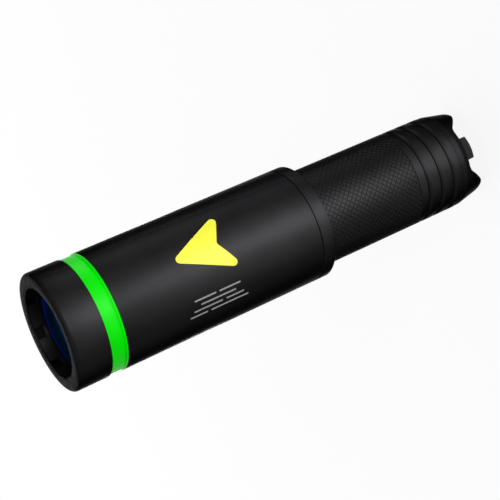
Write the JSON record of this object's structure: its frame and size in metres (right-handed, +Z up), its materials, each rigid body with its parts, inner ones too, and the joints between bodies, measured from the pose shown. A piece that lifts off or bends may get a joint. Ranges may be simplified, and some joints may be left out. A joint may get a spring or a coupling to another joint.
{
  "type": "infrared laser illuminator",
  "caption": "Torch-shaped infrared laser light: a wide black head with a green ring and a deep-set focusing lens, a slim grip, and a grooved screw-on tail with a push switch.",
  "frame": {"origin": "on the tube's axis, at the tips of the tail's two lobes, which the part stands on", "axes": "+Z up along the tube's axis towards the lens; the tail's slot runs along Y"},
  "size_m": [0.03, 0.03, 0.1244],
  "materials": {
    "black_anodise": "satin",
    "green_paint": "gloss",
    "coated_glass": "polished",
    "bare_aluminium": "machined",
    "black_rubber": "matte",
    "button_plastic": "matte",
    "brass": "machined",
    "steel": "brushed",
    "gold_plate": "polished",
    "circuit_board": "satin",
    "chip_plastic": "matte",
    "capacitor": "matte",
    "switch_plastic": "matte",
    "cell_sleeve": "gloss"
  },
  "bodies": {
    "housing": {"bezel": "black_anodise", "bezel_seal": "black_rubber", "colour_band": "green_paint", "guide_sleeve": "bare_aluminium", "guide_pin": "steel", "head_barrel": "black_anodise", "heat_sink": "bare_aluminium", "laser_diode": "gold_plate", "diode_window": "coated_glass", "diode_clamp": "brass", "driver_cup": "brass", "driver_board": "circuit_board", "driver_coil": "chip_plastic", "driver_chip": "chip_plastic", "driver_capacitors": "capacitor", "front_contact": "brass", "rear_collar": "black_anodise", "collar_seal": "black_rubber", "battery_tube": "black_anodise", "tube_seal": "black_rubber", "cell_front": "cell_sleeve", "cell_rear": "cell_sleeve", "tail_seal": "black_rubber"},
    "focus_ring": {"focus_ring": "black_anodise"},
    "lens_carriage": {"lens_cell": "black_anodise", "objective_lens": "coated_glass", "lens_seal": "black_rubber", "lens_retainer": "black_anodise"},
    "tail_contact": {"tail_spring": "steel"},
    "tail_cap": {"tail_cap": "black_anodise", "switch_retainer": "brass", "switch_board": "circuit_board", "switch_body": "switch_plastic", "switch_spacer": "bare_aluminium"},
    "button": {"button": "button_plastic", "button_seal": "black_rubber", "switch_plunger": "switch_plastic"}
  },
  "joints": [
    {"name": "focus_turn", "type": "hinge", "parent": "housing", "child": "focus_ring", "pos_m": [0, 0, 0.12], "axis": [0, 0, 1], "range_deg": [0, 300]},
    {"name": "lens_slide", "type": "slide", "parent": "housing", "child": "lens_carriage", "axis": [0, 0, -1], "range_m": [0, 0.002]},
    {"name": "cap_travel", "type": "slide", "parent": "housing", "child": "tail_contact", "axis": [0, 0, -1], "range_m": [0, 0.004]},
    {"name": "cap_turn", "type": "hinge", "parent": "tail_contact", "child": "tail_cap", "pos_m": [0, 0, 0.015], "axis": [0, 0, -1], "range_deg": [0, 1440]},
    {"name": "button_press", "type": "slide", "parent": "tail_cap", "child": "button", "axis": [0, 0, 1], "range_m": [0, 0.0013], "stiffness_N_per_m": 1500, "springref_m": -0.0001}
  ],
  "couplings": [
    {"joint": "focus_turn", "follows": "lens_slide", "rad_per_m": 2618},
    {"joint": "cap_turn", "follows": "cap_travel", "rad_per_m": 6283.2}
  ]
}
